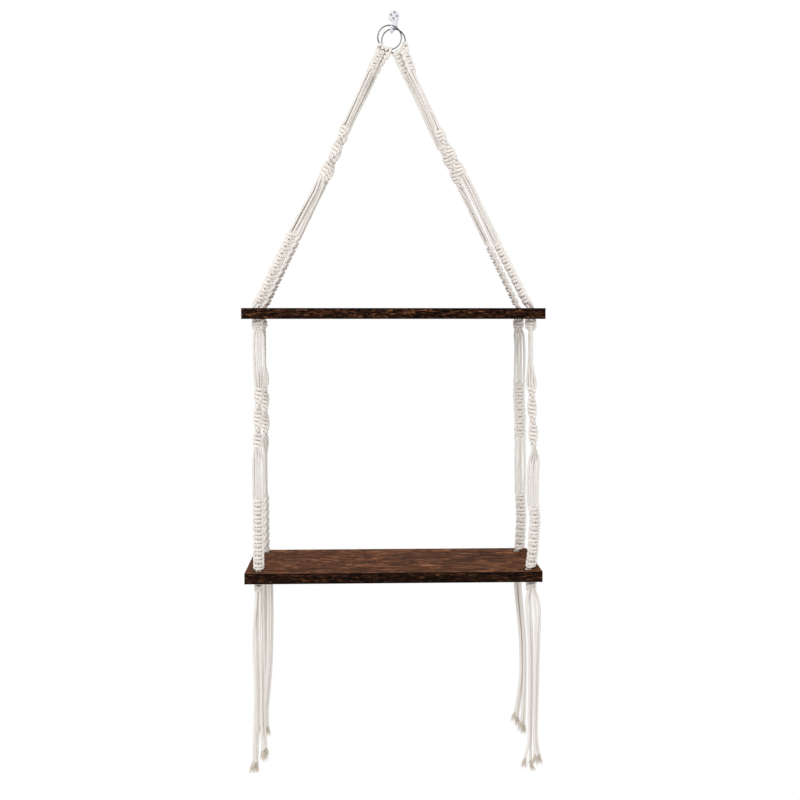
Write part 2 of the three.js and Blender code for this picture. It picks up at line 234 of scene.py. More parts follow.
# The legs, clockwise from above. Depths run down the leg from its top, and angles are in degrees.
#   side, row            left or right, and front or rear, as -1 or 1
#   order                how far right of the hook's middle its top lies, in LEG_TOP_PITCH
#   ring, angle          the ring that carries it, and where on that ring, from its lowest point to the right
#   face, middle_face    how far the cords are turned under the ring, and under the upper board
#   upper_turn, turn     how far the square knots are turned above the upper board, and above the lower one
#   places, low_places   where the upper leg's cords lie above its winding stretch, and below it
#   spiral, knots        where that stretch starts and ends, and where the square knots start
#   spin                 how that stretch winds, from its first half knot to its last
#   bends                how far right the leg lies at each depth
#   middle_...           the same between the boards; without a spin, the knots there are flat
#   tails, cuts          each tail's place sideways at TAIL_SHARES, and how much it is cut short
#   low_knot             how far right the knot under the lower board lies, and its width
LEGS = [
    dict(name="front_left", side=-1, row=-1, order=-2, ring="left", angle=-42, face=0, upper_turn=0, turn=0,
         middle_face=0, places=BUNDLE, low_places=BUNDLE, spiral=(125, 210), knots=306, spin=(-15, 416),
         bends=[(-7, 0), (60, 0.5), (125, 2), (165, 4.5), (210, 4), (290, 0.5), (330, 0)],
         middle_knots=246, middle_spin=(-48, 405),
         middle_bends=[(-2, 2.3), (20, 4), (85, 4), (110, 2), (170, 0.7), (360, 0.5)],
         tails=[(-2.4, -3.6, -5.8, -7.8, -6.4, -6, -7.2, -8.6, -10.5),
                (-2.4, -2.6, -3, -3.2, -2.4, -2, -3, -4.6, -6),
                (2.4, 1.9, 1.5, 1.2, 2, 2.4, 2, 2.6, 3.6),
                (2.4, 4.8, 5.6, 6, 6.2, 6, 5.8, 6.6, 8.4)],
         cuts=(3, 1, 20, 22), low_knot=(0, 13.6)),
    dict(name="rear_left", side=-1, row=1, order=-1, ring="left", angle=-6, face=62, upper_turn=90, turn=90,
         middle_face=90, places=BUNDLE, low_places=BUNDLE, spiral=(133, 207), knots=303, spin=(20, 470),
         bends=[(-7, 0), (15, -3.6), (60, -3.4), (125, -5), (150, -4.5), (210, 0), (330, 0)],
         middle_knots=260, middle_spin=(30, 480), middle_bends=[(-2, 0), (360, 0)],
         tails=[(-2.4, -4, -4.6, -5.2, -5.8, -7, -9, -11, -12),
                (-2.4, -2, -1.6, -2, -2.6, -3.8, -6, -8, -8.4),
                (2.4, 3, 3.2, 3, 2.4, 1, -1.8, -5, -5),
                (2.8, 6.6, 7.6, 7.6, 6.8, 5.4, 2.4, -1, -0.6)],
         cuts=(12, 16, 4, 7), low_knot=(0, 13.6)),
    dict(name="rear_right", side=1, row=1, order=0.5, ring="right", angle=30, face=0, upper_turn=90, turn=0,
         middle_face=0, places=WIDE_ROW, low_places=BUNDLE, spiral=(146, 216), knots=310, spin=(40, 500),
         bends=[(-7, 0), (330, 0)],
         middle_knots=260, middle_spin=None,
         middle_bends=[(-2, 0), (40, 2.5), (110, 2), (150, 4), (250, 5), (300, 7), (330, 6), (360, 3)],
         tails=[(-2.4, -2.2, -0.5, 3, 6.5, 8, 8, 4, -1.5),
                (-2.4, 0.4, 2.6, 6.4, 9.4, 10.6, 10.4, 7.5, 3.5),
                (2.4, 3.8, 5.6, 8.8, 11.8, 12.8, 12.8, 11.6, 9.5),
                (2.4, 6.2, 8, 11.6, 15, 16.2, 16.4, 15.8, 15)],
         cuts=(27, 17, 11, 4), low_knot=(0, 13.6)),
    dict(name="front_right", side=1, row=-1, order=1.5, ring="right", angle=66, face=-30, upper_turn=45,
         turn=0, middle_face=-100, places=BUNDLE, low_places=WIDE_ROW, spiral=(132, 207), knots=321,
         spin=(-24, 426),
         bends=[(-7, 0), (50, -4.5), (110, -6), (150, -6.5), (185, -4), (225, -2), (290, -3), (400, -2),
                (430, 0)],
         middle_knots=260, middle_spin=(-150, 290),
         middle_bends=[(-2, 0), (50, 0), (105, 2.8), (165, 5.6), (190, 7.2), (215, 5.8), (245, 5.8),
                       (280, 9), (310, 7.5), (360, 3)],
         tails=[(1.5, -2, -1.2, 2, 2.8, 3.4, 3, 3, -4.5),
                (3, 3.4, 4.8, 6.6, 7, 7, 6.6, 6.4, 7),
                (6.5, 9, 11, 11.5, 11.3, 11, 10.6, 11, 13.5),
                (8.5, 15, 17.8, 17, 16.4, 15.8, 15.2, 15, 20.5)],
         cuts=(4, -3, 9, 7), low_knot=(4.5, 17)),
]


# Materials
def new_material(name):
    material = bpy.data.materials.new(name)
    material.use_nodes = True
    nodes = material.node_tree.nodes
    shader = next(node for node in nodes if node.type == "BSDF_PRINCIPLED")
    return material, nodes, material.node_tree.links, shader


def set_values(node, **values):
    """Sets a node's own settings, and its sockets where it has no setting of that name."""
    for key, value in values.items():
        if hasattr(node, key):
            setattr(node, key, value)
        else:
            node.inputs[key.replace("_", " ")].default_value = value


def add_node(nodes, kind, **values):
    node = nodes.new(kind)
    set_values(node, **values)
    return node


def stretched(nodes, links, vector, scale):
    node = add_node(nodes, "ShaderNodeMapping", Scale=scale)
    links.new(vector, node.inputs["Vector"])
    return node.outputs["Vector"]


def noise(nodes, links, vector, **values):
    node = add_node(nodes, "ShaderNodeTexNoise", **values)
    links.new(vector, node.inputs["Vector"])
    return node.outputs["Fac"]


def toned(nodes, links, factor, stops):
    """The colour for a factor, from stops of a position and a colour."""
    node = nodes.new("ShaderNodeValToRGB")
    elements = node.color_ramp.elements
    while len(elements) < len(stops):
        elements.new(0.5)
    for element, (position, colour) in zip(elements, stops):
        element.position = position
        element.color = (*colour, 1)
    links.new(factor, node.inputs["Fac"])
    return node.outputs["Color"]


def mix(nodes, links, factor, a, b, blend="MIX"):
    node = nodes.new("ShaderNodeMix")
    node.data_type = "RGBA"
    node.blend_type = blend
    for socket, value in ((node.inputs[0], factor), (node.inputs[6], a), (node.inputs[7], b)):
        if isinstance(value, bpy.types.NodeSocket):
            links.new(value, socket)
        elif isinstance(value, tuple):
            socket.default_value = (*value, 1)
        else:
            socket.default_value = value
    return node.outputs[2]


def bump(nodes, links, height, strength, distance, before=None):
    node = add_node(nodes, "ShaderNodeBump", Strength=strength, Distance=distance)
    links.new(height, node.inputs["Height"])
    if before:
        links.new(before, node.inputs["Normal"])
    return node.outputs["Normal"]


def cotton_material():
    """Twisted cotton: fine threads along the cord, with painted shade between its plies and where cords
    touch.
    """
    material, nodes, links, shader = new_material("cotton_cord")
    set_values(shader, Roughness=0.92, Sheen_Weight=0.25, Sheen_Roughness=0.5, Specular_IOR_Level=0.15)
    fibre = add_node(nodes, "ShaderNodeAttribute", attribute_name="fibre").outputs["Vector"]
    groove = add_node(nodes, "ShaderNodeAttribute", attribute_name="groove").outputs["Fac"]
    threads = noise(nodes, links, stretched(nodes, links, fibre, (3.2, 3.2, 0.35)), Scale=3.0, Detail=4.0)
    patches = noise(nodes, links, fibre, Scale=0.09, Detail=2.0)
    # Painted shade: ambient occlusion finds where cords touch, and the cotton is turned brown there.
    touching = add_node(nodes, "ShaderNodeAmbientOcclusion", samples=16, Distance=0.004).outputs["AO"]
    thread_tone = toned(nodes, links, threads, [(0.3, (0.93, 0.9, 0.86)), (0.6, (1, 1, 1))])
    # Painted shade: the cotton turns brownish in the grooves between its plies.
    painted_ply_shade = toned(nodes, links, groove, [(0.4, (1, 1, 1)), (1.0, (0.89, 0.82, 0.75))])
    painted_crease_shade = toned(nodes, links, touching, [(0.05, (0.46, 0.28, 0.17)), (0.42, (1, 1, 1))])
    body = mix(nodes, links, patches, (0.975, 0.955, 0.925), (0.945, 0.91, 0.865))
    for share, tone in ((0.8, thread_tone), (0.75, painted_ply_shade), (0.85, painted_crease_shade)):
        body = mix(nodes, links, share, body, tone, "MULTIPLY")
    links.new(body, shader.inputs["Base Color"])
    links.new(bump(nodes, links, threads, 0.55, 0.0004), shader.inputs["Normal"])
    return material


def fray_material():
    material, nodes, links, shader = new_material("frayed_cotton")
    set_values(shader, Roughness=0.95, Sheen_Weight=0.3, Specular_IOR_Level=0.15)
    place = add_node(nodes, "ShaderNodeTexCoord").outputs["Object"]
    tone = noise(nodes, links, place, Scale=900.0, Detail=1.0)
    colour = mix(nodes, links, tone, (0.84, 0.79, 0.70), (0.68, 0.58, 0.46))
    links.new(colour, shader.inputs["Base Color"])
    return material


def wood_material(name, top_z, thickness, streaks):
    """Torched wood: brown grain on the level faces, and charred sides with streaks of a given brightness."""
    material, nodes, links, shader = new_material(name)
    place = add_node(nodes, "ShaderNodeTexCoord")

    def pattern(scale, **values):
        return noise(nodes, links, stretched(nodes, links, place.outputs["Object"], scale), **values)

    def times(share, colour, tone):
        return mix(nodes, links, share, colour, tone, "MULTIPLY")

    grain = pattern((26.0, 110.0, 130.0), Scale=1.3, Detail=6.0, Roughness=0.68, Distortion=1.3)
    figure = pattern((5.0, 16.0, 40.0), Scale=1.2, Detail=3.0, Distortion=1.6)
    pores = pattern((90.0, 700.0, 900.0), Scale=1.0, Detail=3.0)
    burn = pattern((62.0, 60.0, 400.0), Scale=1.3, Detail=5.0, Roughness=0.6, Distortion=1.5)
    fine = toned(nodes, links, pores, [(0.35, (0.66, 0.62, 0.6)), (0.6, (1, 1, 1))])

    top = toned(nodes, links, grain, [(0.32, (0.018, 0.006, 0.003)), (0.45, (0.07, 0.025, 0.01)),
                                      (0.55, (0.15, 0.055, 0.022)), (0.66, (0.44, 0.18, 0.078))])
    light = toned(nodes, links, figure, [(0.3, (0.72, 0.7, 0.69)), (0.7, (1.2, 1.15, 1.12))])
    top = times(0.7, times(1.0, top, light), fine)

    side = toned(nodes, links, burn, [(0.42, (0.004, 0.002, 0.0015)), (0.5, (0.014, 0.005, 0.003)),
                                      (0.57, tuple(streaks * c for c in (0.075, 0.027, 0.012))),
                                      (0.66, tuple(streaks * c for c in (0.27, 0.12, 0.05)))])
    burnt = toned(nodes, links, figure, [(0.34, (0.3, 0.28, 0.26)), (0.62, (1.2, 1.15, 1.1))])
    height = add_node(nodes, "ShaderNodeSeparateXYZ")
    links.new(place.outputs["Object"], height.inputs["Vector"])
    level = add_node(nodes, "ShaderNodeMapRange", From_Min=top_z - thickness, From_Max=top_z)
    links.new(height.outputs["Z"], level.inputs["Value"])
    edges = toned(nodes, links, level.outputs["Result"], [(0.02, (0.2, 0.18, 0.17)), (0.16, (1, 1, 1)),
                                                          (0.86, (1, 1, 1)), (0.98, (0.2, 0.18, 0.17))])
    side = times(0.8, times(1.0, times(1.0, side, burnt), edges), fine)

    facing = add_node(nodes, "ShaderNodeSeparateXYZ")
    links.new(place.outputs["Normal"], facing.inputs["Vector"])
    upright = add_node(nodes, "ShaderNodeMath", operation="ABSOLUTE")
    links.new(facing.outputs["Z"], upright.inputs[0])
    flat = toned(nodes, links, upright.outputs["Value"], [(0.75, (0, 0, 0)), (0.97, (1, 1, 1))])
    links.new(mix(nodes, links, flat, side, top), shader.inputs["Base Color"])
    gloss = toned(nodes, links, grain, [(0.3, (0.85, 0.85, 0.85)), (0.7, (0.66, 0.66, 0.66))])
    links.new(gloss, shader.inputs["Roughness"])
    set_values(shader, Specular_IOR_Level=0.05)
    coarse = bump(nodes, links, grain, 0.45, 0.0012)
    links.new(bump(nodes, links, pores, 0.3, 0.0004, coarse), shader.inputs["Normal"])
    return material


def metal_material(name, colour, roughness, scratch):
    """Bare metal with scratches and a slow change of tone."""
    material, nodes, links, shader = new_material(name)
    set_values(shader, Metallic=1.0)
    place = add_node(nodes, "ShaderNodeTexCoord").outputs["Object"]
    marks = noise(nodes, links, place, Scale=1400.0, Detail=2.0)
    tarnish = noise(nodes, links, place, Scale=45.0, Detail=1.0)
    spread = toned(nodes, links, tarnish, [(0.35, tuple(0.45 * c for c in colour)),
                                           (0.65, tuple(1.5 * c for c in colour))])
    tone = mix(nodes, links, marks, (0.8, 0.8, 0.8), (1, 1, 1))
    links.new(mix(nodes, links, 1.0, spread, tone, "MULTIPLY"), shader.inputs["Base Color"])
    gloss = toned(nodes, links, marks, [(0.3, (roughness,) * 3), (0.8, (roughness + 0.12,) * 3)])
    links.new(gloss, shader.inputs["Roughness"])
    links.new(bump(nodes, links, marks, scratch, 0.0001), shader.inputs["Normal"])
    return material


def plastic_material():
    material, nodes, links, shader = new_material("hook_plastic")
    set_values(shader, Coat_Weight=0.25)
    place = add_node(nodes, "ShaderNodeTexCoord").outputs["Object"]
    skin = noise(nodes, links, place, Scale=600.0, Detail=3.0)
    colour = mix(nodes, links, skin, (0.80, 0.79, 0.84), (0.74, 0.73, 0.79))
    links.new(colour, shader.inputs["Base Color"])
    gloss = toned(nodes, links, skin, [(0.3, (0.28,) * 3), (0.7, (0.4,) * 3)])
    links.new(gloss, shader.inputs["Roughness"])
    links.new(bump(nodes, links, skin, 0.12, 0.0002), shader.inputs["Normal"])
    return material


cotton = cotton_material()
frayed = fray_material()
ring_metal = metal_material("ring_metal", (0.24, 0.225, 0.22), 0.16, 0.1)
nail_metal = metal_material("nail_metal", (0.2, 0.2, 0.21), 0.3, 0.25)
plastic = plastic_material()


# Curves
def unit(vector):
    return vector / np.linalg.norm(vector)


def units(vectors):
    return vectors / np.linalg.norm(vectors, axis=1)[:, None]


def arc_along(points):
    """The length of a polyline up to each of its points."""
    return np.concatenate([[0], np.cumsum(np.linalg.norm(np.diff(points, axis=0), axis=1))])


def square_to(path):
    """Two directions square to the path at each point, carried along it without twist."""
    tangents = units(np.gradient(path, axis=0))
    normals = np.empty_like(path)
    normals[0] = unit(np.cross(tangents[0], NO_CORD_HEADING))
    for i in range(1, len(path)):
        normals[i] = unit(normals[i - 1] - tangents[i] * np.dot(normals[i - 1], tangents[i]))
    return normals, np.cross(tangents, normals)


def resampled(points, radii, step=ROPE_STEP, passes=2):
    """Points at even steps along a polyline, rounded a little."""
    points = np.asarray(points, float)
    arc = arc_along(points)
    keep = np.concatenate([[True], np.diff(arc) > SAME_POINT])
    points, radii, arc = points[keep], np.asarray(radii, float)[keep], arc[keep]
    at = np.linspace(0, arc[-1], max(3, round(arc[-1] / step) + 1))
    path = np.column_stack([np.interp(at, arc, points[:, k]) for k in range(3)])
    sizes = np.interp(at, arc, radii)
    for _ in range(passes):
        path[1:-1] = (path[:-2] + 2 * path[1:-1] + path[2:]) / 4
    return path, sizes


def smooth_curve(points):
    """A curve that passes smoothly through all the points."""
    points = np.asarray(points, float)
    ends = np.vstack([2 * points[0] - points[1], points, 2 * points[-1] - points[-2]])
    t = np.linspace(0, 1, CURVE_SAMPLES, endpoint=False)[:, None]
    parts = []
    for a, b, c, d in zip(ends, ends[1:], ends[2:], ends[3:]):
        parts.append(0.5 * (2 * b + (c - a) * t + (2 * a - 5 * b + 4 * c - d) * t**2
                            + (3 * b - a - 3 * c + d) * t**3))
    return np.vstack([*parts, points[-1:]])


def ease(value):
    value = np.clip(value, 0, 1)
    return value * value * (3 - 2 * value)


# Meshes
class Rope:
    """Collects swept cords and makes one object of them."""

    def __init__(self, name):
        self.name = name
        self.points, self.quads, self.tris, self.grooves, self.fibres = [], [], [], [], []
        self.count = 0

    def add(self, path, radii, sides=ROPE_SIDES, lay=ROPE_LAY, depth=LOBE_DEPTH):
        """Sweeps a rope of twisted lobes along path, an array of points, with a radius at each point."""
        normals, sideways = square_to(path)
        arc = arc_along(path)
        theta = 2 * math.pi * np.arange(sides) / sides
        lobes = np.abs(np.cos(ROPE_LOBES * theta / 2))
        turn = theta[None, :] + 2 * math.pi * arc[:, None] / lay + random.uniform(0, 2 * math.pi)
        reach = radii[:, None] * (1 - depth * (1 - lobes))[None, :]
        rings = path[:, None, :] + reach[..., None] * (
            np.cos(turn)[..., None] * normals[:, None, :] + np.sin(turn)[..., None] * sideways[:, None, :]
        )
        rows = len(path)
        index = self.count + np.arange(rows * sides).reshape(rows, sides)
        after = np.roll(index, -1, axis=1)
        self.quads.append(np.stack([index[:-1], after[:-1], after[1:], index[1:]], axis=-1).reshape(-1, 4))
        first_end, last_end = self.count + rows * sides + np.arange(2)
        self.tris.append(np.stack([after[0], index[0], np.full(sides, first_end)], axis=-1))
        self.tris.append(np.stack([index[-1], after[-1], np.full(sides, last_end)], axis=-1))
        self.points += [rings.reshape(-1, 3), path[[0, -1]]]
        self.grooves += [np.tile(1 - lobes, rows), np.full(2, 1.0)]
        self.add_fibres(theta, arc)
        self.count += rows * sides + 2

    def add_fibres(self, theta, arc):
        """Where each point lies round and along its cord, which the cotton's threads follow."""
        shift = random.uniform(0, THREAD_SHIFT)
        round_cord = np.broadcast_arrays(
            CORD_RADIUS * np.cos(theta)[None, :], CORD_RADIUS * np.sin(theta)[None, :], arc[:, None] + shift
        )
        self.fibres += [np.stack(round_cord, axis=-1).reshape(-1, 3),
                        np.array([[0, 0, shift], [0, 0, arc[-1] + shift]])]

    def build(self, material):
        points = np.concatenate(self.points) * MM
        quads = np.concatenate(self.quads)
        tris = np.concatenate(self.tris)
        mesh = bpy.data.meshes.new(self.name)
        mesh.vertices.add(len(points))
        mesh.vertices.foreach_set("co", points.astype(np.float32).ravel())
        corners = np.concatenate([quads.ravel(), tris.ravel()]).astype(np.int32)
        mesh.loops.add(len(corners))
        mesh.loops.foreach_set("vertex_index", corners)
        starts = np.concatenate([4 * np.arange(len(quads)), 4 * len(quads) + 3 * np.arange(len(tris))])
        mesh.polygons.add(len(starts))
        mesh.polygons.foreach_set("loop_start", starts.astype(np.int32))
        mesh.update(calc_edges=True)
        mesh.polygons.foreach_set("use_smooth", np.ones(len(starts), bool))
        mesh.attributes.new("groove", "FLOAT", "POINT").data.foreach_set(
            "value", np.concatenate(self.grooves).astype(np.float32))
        mesh.attributes.new("fibre", "FLOAT_VECTOR", "POINT").data.foreach_set(
            "vector", np.concatenate(self.fibres).astype(np.float32).ravel())
        mesh.materials.append(material)
        mesh.validate()
        piece = bpy.data.objects.new(self.name, mesh)
        bpy.context.scene.collection.objects.link(piece)
        return piece


def tube_faces(first, rows, sides, closed=False):
    """The faces between rows of vertices, counted from first, where each row goes once round a tube."""
    return [(first + i * sides + k, first + i * sides + (k + 1) % sides,
             first + (i + 1) % rows * sides + (k + 1) % sides, first + (i + 1) % rows * sides + k)
            for i in range(rows if closed else rows - 1) for k in range(sides)]


def add_mesh(name, vertices, faces, material, scale=MM, smooth=True):
    mesh = bpy.data.meshes.new(name)
    mesh.from_pydata([tuple(value * scale for value in vertex) for vertex in vertices], [], faces)
    mesh.polygons.foreach_set("use_smooth", [smooth] * len(mesh.polygons))
    mesh.materials.append(material)
    piece = bpy.data.objects.new(name, mesh)
    bpy.context.scene.collection.objects.link(piece)
    return piece


# Runs of a leg: for each of its four cords an array of rows (across, down, through, radius)
def straight_fillers(start, end, points):
    """The two cords in the middle of a row of knots."""
    down = np.linspace(start, end, points)
    return [np.stack([np.full_like(down, side * FILLER_OFFSET), down, np.zeros_like(down),
                      np.full_like(down, FILLER_RADIUS)], axis=-1) for side in (-1, 1)]


def square_knots(start, pitch, count, width):
    half = pitch / 2
    reach = width / 2 - KNOT_RADIUS
    t = np.linspace(0, 2 * count, 2 * count * HALF_SAMPLES + 1)
    swing = 2 * math.pi * (0.25 + CROSSING_RISE / half)
    down = (start + half * (t + swing * np.sin(2 * math.pi * t) / (2 * math.pi))
            + PAIR_SHIFT * np.sin(math.pi * t))
    through = (SIDE_DEPTH - BAR_DEPTH) / 2 + (SIDE_DEPTH + BAR_DEPTH) / 2 * np.cos(2 * math.pi * t)
    across = reach * np.cos(math.pi * t)
    radius = KNOT_RADIUS + BAR_SWELL * np.sin(math.pi * t) ** 2
    front = np.stack([-across, down, through, radius], axis=-1)
    behind = np.stack([across, down, -through, radius], axis=-1)
    return [front, *straight_fillers(start, start + count * pitch, 4 * count), behind]


def half_knots(start, end, count, width):
    half = (end - start) / count
    reach = width / 2 - KNOT_RADIUS
    t = np.linspace(0, count, count * HALF_SAMPLES + 1)
    down = start + half * (t + HALF_KNOT_SLANT * np.sin(2 * math.pi * t) / (2 * math.pi))
    across = reach * np.cos(math.pi * t)
    through = FLAT_DEPTH * np.sin(math.pi * t)
    radius = KNOT_RADIUS + BAR_SWELL * np.sin(math.pi * t) ** 2
    first = np.stack([-across, down, -through, radius], axis=-1)
    second = np.stack([across, down, through, radius], axis=-1)
    return [first, *straight_fillers(start, end, 2 * count), second]


def loose_strands(start, end, places, sway):
    u = np.linspace(*STRAND_SHARES, STRAND_POINTS)
    lanes = []
    for x, z in places:
        bulge = np.sin(math.pi * u) * random.uniform(-sway, sway)
        start_angle = random.uniform(*WAVE_STARTS)
        wave = np.sin(2 * math.pi * u + start_angle) * sway * WAVE_SHARE * np.sin(math.pi * u)
        fore = np.sin(math.pi * u) * random.uniform(-sway, sway) * FORE_SHARE
        lanes.append(np.stack([x + bulge + wave, start + (end - start) * u, z + fore,
                               np.full_like(u, CORD_RADIUS)], axis=-1))
    return lanes


def chained(runs):
    return [np.vstack([run[lane] for run in runs]) for lane in range(4)]


def twisted(lane, angle_at):
    """Turns each point about the leg's own line by the angle for its depth."""
    angle = np.radians(angle_at(lane[:, 1]))
    x, z = lane[:, 0].copy(), lane[:, 2].copy()
    turned = lane.copy()
    turned[:, 0] = x * np.cos(angle) + z * np.sin(angle)
    turned[:, 2] = -x * np.sin(angle) + z * np.cos(angle)
    return turned


def winding(face, strands_from, start, end, knots_from, spin, turn):
    """The angle at each depth.

    It is eased from face to the spiral's first angle in the lower half of the strands above the spiral,
    and from the spiral's last angle to that of the flat knots in the upper third of the strands below it.
    """
    first, last = spin
    rest = 180 * round((last - turn) / 180) + turn

    def angle_at(depth):
        before = face + (first - face) * ease(2 * (depth - strands_from) / (start - strands_from) - 1)
        wound = (last - first) * np.clip((depth - start) / (end - start), 0, 1)
        after = (rest - last) * ease(3 * (depth - end) / (knots_from - end))
        return before + wound + after

    return angle_at


def bend(places, depths):
    """How far to the right a cord lies at each depth, eased from place to place."""
    shift = np.zeros_like(depths)
    for (start, before), (end, after) in zip(places, places[1:]):
        within = (depths >= start) & (depths < end)
        shift[within] = before + (after - before) * ease((depths[within] - start) / (end - start))
    return shift


def leg_axes(top, bottom):
    down = unit(bottom - top)
    through = unit(np.array([0.0, 1.0, 0.0]) - down * down[1])
    return np.cross(down, through), down, through


def placed(lane, top, axes):
    across, down, through = axes
    points = top + lane[:, :1] * across + lane[:, 1:2] * down + lane[:, 2:3] * through
    return points, lane[:, 3]


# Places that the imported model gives
def box_mm(node):
    low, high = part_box(node)
    return np.array(low) / MM, np.array(high) / MM


def middle_of(node):
    low, high = box_mm(node)
    return (low + high) / 2


def joint_place(name):
    return np.array(joints[name]["pos_m"]) / MM


upper_low, upper_high = box_mm("upper_board")
lower_low, lower_high = box_mm("lower_board")
thickness = (upper_high - upper_low)[2]
pivot = joint_place("shelf_pull")
rings = {side: middle_of("ring_" + side) for side in ("left", "right")}
ring_radius = (box_mm("ring_left")[1][0] - box_mm("ring_left")[0][0]) / 2 - WIRE_RADIUS
under_upper_board = joint_place("tier_sway")[2]
under_lower_board = joint_place("tassel_front_left_swing")[2]


def at_hole(leg, height):
    """A height on the middle line of a leg's holes, which is the same in both boards."""
    return np.array([*middle_of("upper_stopper_" + leg["name"])[:2], height])


def leg_top(leg):
    return pivot + np.array([leg["order"] * LEG_TOP_PITCH, leg["row"] * LEG_TOP_DEPTH / 2, 0])


# Camera
def add_camera():
    data = bpy.data.cameras.new("photo_camera")
    data.sensor_width = CAMERA_SENSOR
    data.lens = CAMERA_SENSOR * FOCAL_PIXELS / FRAME_PIXELS
    camera = bpy.data.objects.new("photo_camera", data)
    camera.matrix_world = (Matrix.Translation(Vector(CAMERA_PLACE)) @ Matrix.Rotation(-CAMERA_YAW, 4, "Z")
                           @ Matrix.Rotation(math.pi / 2 - CAMERA_PITCH, 4, "X"))
    bpy.context.scene.collection.objects.link(camera)
    bpy.context.scene.camera = camera


# Tails: four loose cords under each leg, with frayed ends
def fray(name, end, heading):
    """The cord's fibres, spread where it was cut."""
    tuft = Rope(name)
    lean = random.uniform(-FIBRE_LEAN, FIBRE_LEAN)
    for _ in range(FIBRES):
        angle = random.uniform(0, 2 * math.pi)
        out = np.array([math.cos(angle), FRAY_FLATNESS * math.sin(angle), 0])
        start = end + out * random.uniform(*FIBRE_PLACES) - heading * FRAY_ROOT
        spread = random.uniform(*FIBRE_SPREADS) * FRAY_SPREAD
        length = random.uniform(*FIBRE_LENGTHS) * FRAY_LENGTH
        curl = random.normal(0, FIBRE_CURL, 3) + (lean * length, 0, 0)
        steps = np.linspace(0, 1, FIBRE_POINTS)[:, None]
        flare = out * spread * steps**FIBRE_FLARE
        path = start + heading * (length + FRAY_ROOT) * steps + flare + curl * steps**2
        radii = np.linspace(*FIBRE_RADII, FIBRE_POINTS)
        tuft.add(path, radii, sides=FIBRE_SIDES, lay=FIBRE_LAY, depth=0.0)
    return tuft.build(frayed)


def add_tail(leg, i):
    centre = at_hole(leg, under_lower_board)
    node = f"tail_{leg['name']}_{i + 1}"
    top = box_mm(node)[1][2]
    length = TAIL_LENGTH - leg["cuts"][i]
    points = [(centre[0] + x, centre[1] + TAIL_ROWS[i], top - length * share)
              for x, share in zip(leg["tails"][i], TAIL_SHARES)]
    root = centre + (np.array(points[0]) - centre) * TAIL_ROOT_SHARES
    curve = smooth_curve([root, *points])
    path, radii = resampled(curve, np.full(len(curve), TAIL_RADIUS))
    cut = len(path) - round(FRAY_CUT_SHARE * FRAY_LENGTH / ROPE_STEP)
    path, radii = path[:cut], radii[:cut]
    rope = Rope(f"loose_tail_{leg['name']}_{i + 1}")
    rope.add(path, radii)
    tail = rope.build(cotton)
    heading = unit(path[-1] - path[-1 - TAIL_HEADING_POINTS])
    tuft = fray(f"frayed_end_{leg['name']}_{i + 1}", path[-1], heading)
    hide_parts(node)
    for piece in (tail, tuft):
        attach(piece, "tassel_" + leg["name"])


# Legs
def head_wraps(leg):
    """For each of a leg's four cords, the points of its wrap round the wire of its ring."""
    centre = rings[leg["ring"]]
    gap = WIRE_RADIUS + HEAD_RADIUS
    forward = np.array([0, -1.0, 0])
    wraps = []
    for place in WRAPS:
        angle = math.radians(leg["angle"] + place * WRAP_ANGLE)
        out = np.array([math.sin(angle), 0, -math.cos(angle)])
        wire = centre + ring_radius * out
        wraps.append({
            name: wire + forward * (ahead * gap + more_ahead) + out * (away * gap + more_away)
            for name, (ahead, more_ahead, away, more_away) in WRAP_POINTS.items()
        })
    return wraps


def head_path(first, second):
    """One folded cord: up its first wrap, across the bar and back round its second wrap."""
    middle = (first["bar"] + second["bar"]) / 2
    return smooth_curve([
        first["under"], first["back"], first["over"], first["front"], first["up"],
        middle, second["up"], second["front"], second["over"], second["back"], second["under"],
    ])


def in_hole_order(ends, hole):
    """Gives each cord the corner of the hole that lies nearest to where it arrives, one cord to a corner."""
    free = list(range(4))
    order = {}
    for lane in sorted(range(4), key=lambda k: -np.hypot(*(ends[k] - hole)[:2])):
        best = min(free, key=lambda corner: np.hypot(*(ends[lane] - hole)[:2] - IN_HOLE[corner]))
        free.remove(best)
        order[lane] = best
    return order


def upper_runs(leg, length):
    """An upper leg's knots and strands, and how they are turned."""
    top_end = TOP_KNOTS_FROM + TOP_KNOT_COUNT * KNOT_PITCH
    room = length - UPPER_FOOT_ROOM - leg["knots"]
    count = round(room / KNOT_PITCH)
    start, end = leg["spiral"]
    runs = [
        square_knots(TOP_KNOTS_FROM, KNOT_PITCH, TOP_KNOT_COUNT, TOP_KNOT_WIDTH),
        loose_strands(top_end, start, leg["places"], UPPER_SWAY),
        half_knots(start, end, SPIRAL_HALF_KNOTS, SPIRAL_WIDTH),
        loose_strands(end, leg["knots"], leg["low_places"], UPPER_SWAY),
        square_knots(leg["knots"], room / count, count, UPPER_KNOT_WIDTH),
    ]
    angle_at = winding(leg["face"], top_end, start, end, leg["knots"], leg["spin"], leg["upper_turn"])
    return chained(runs), angle_at


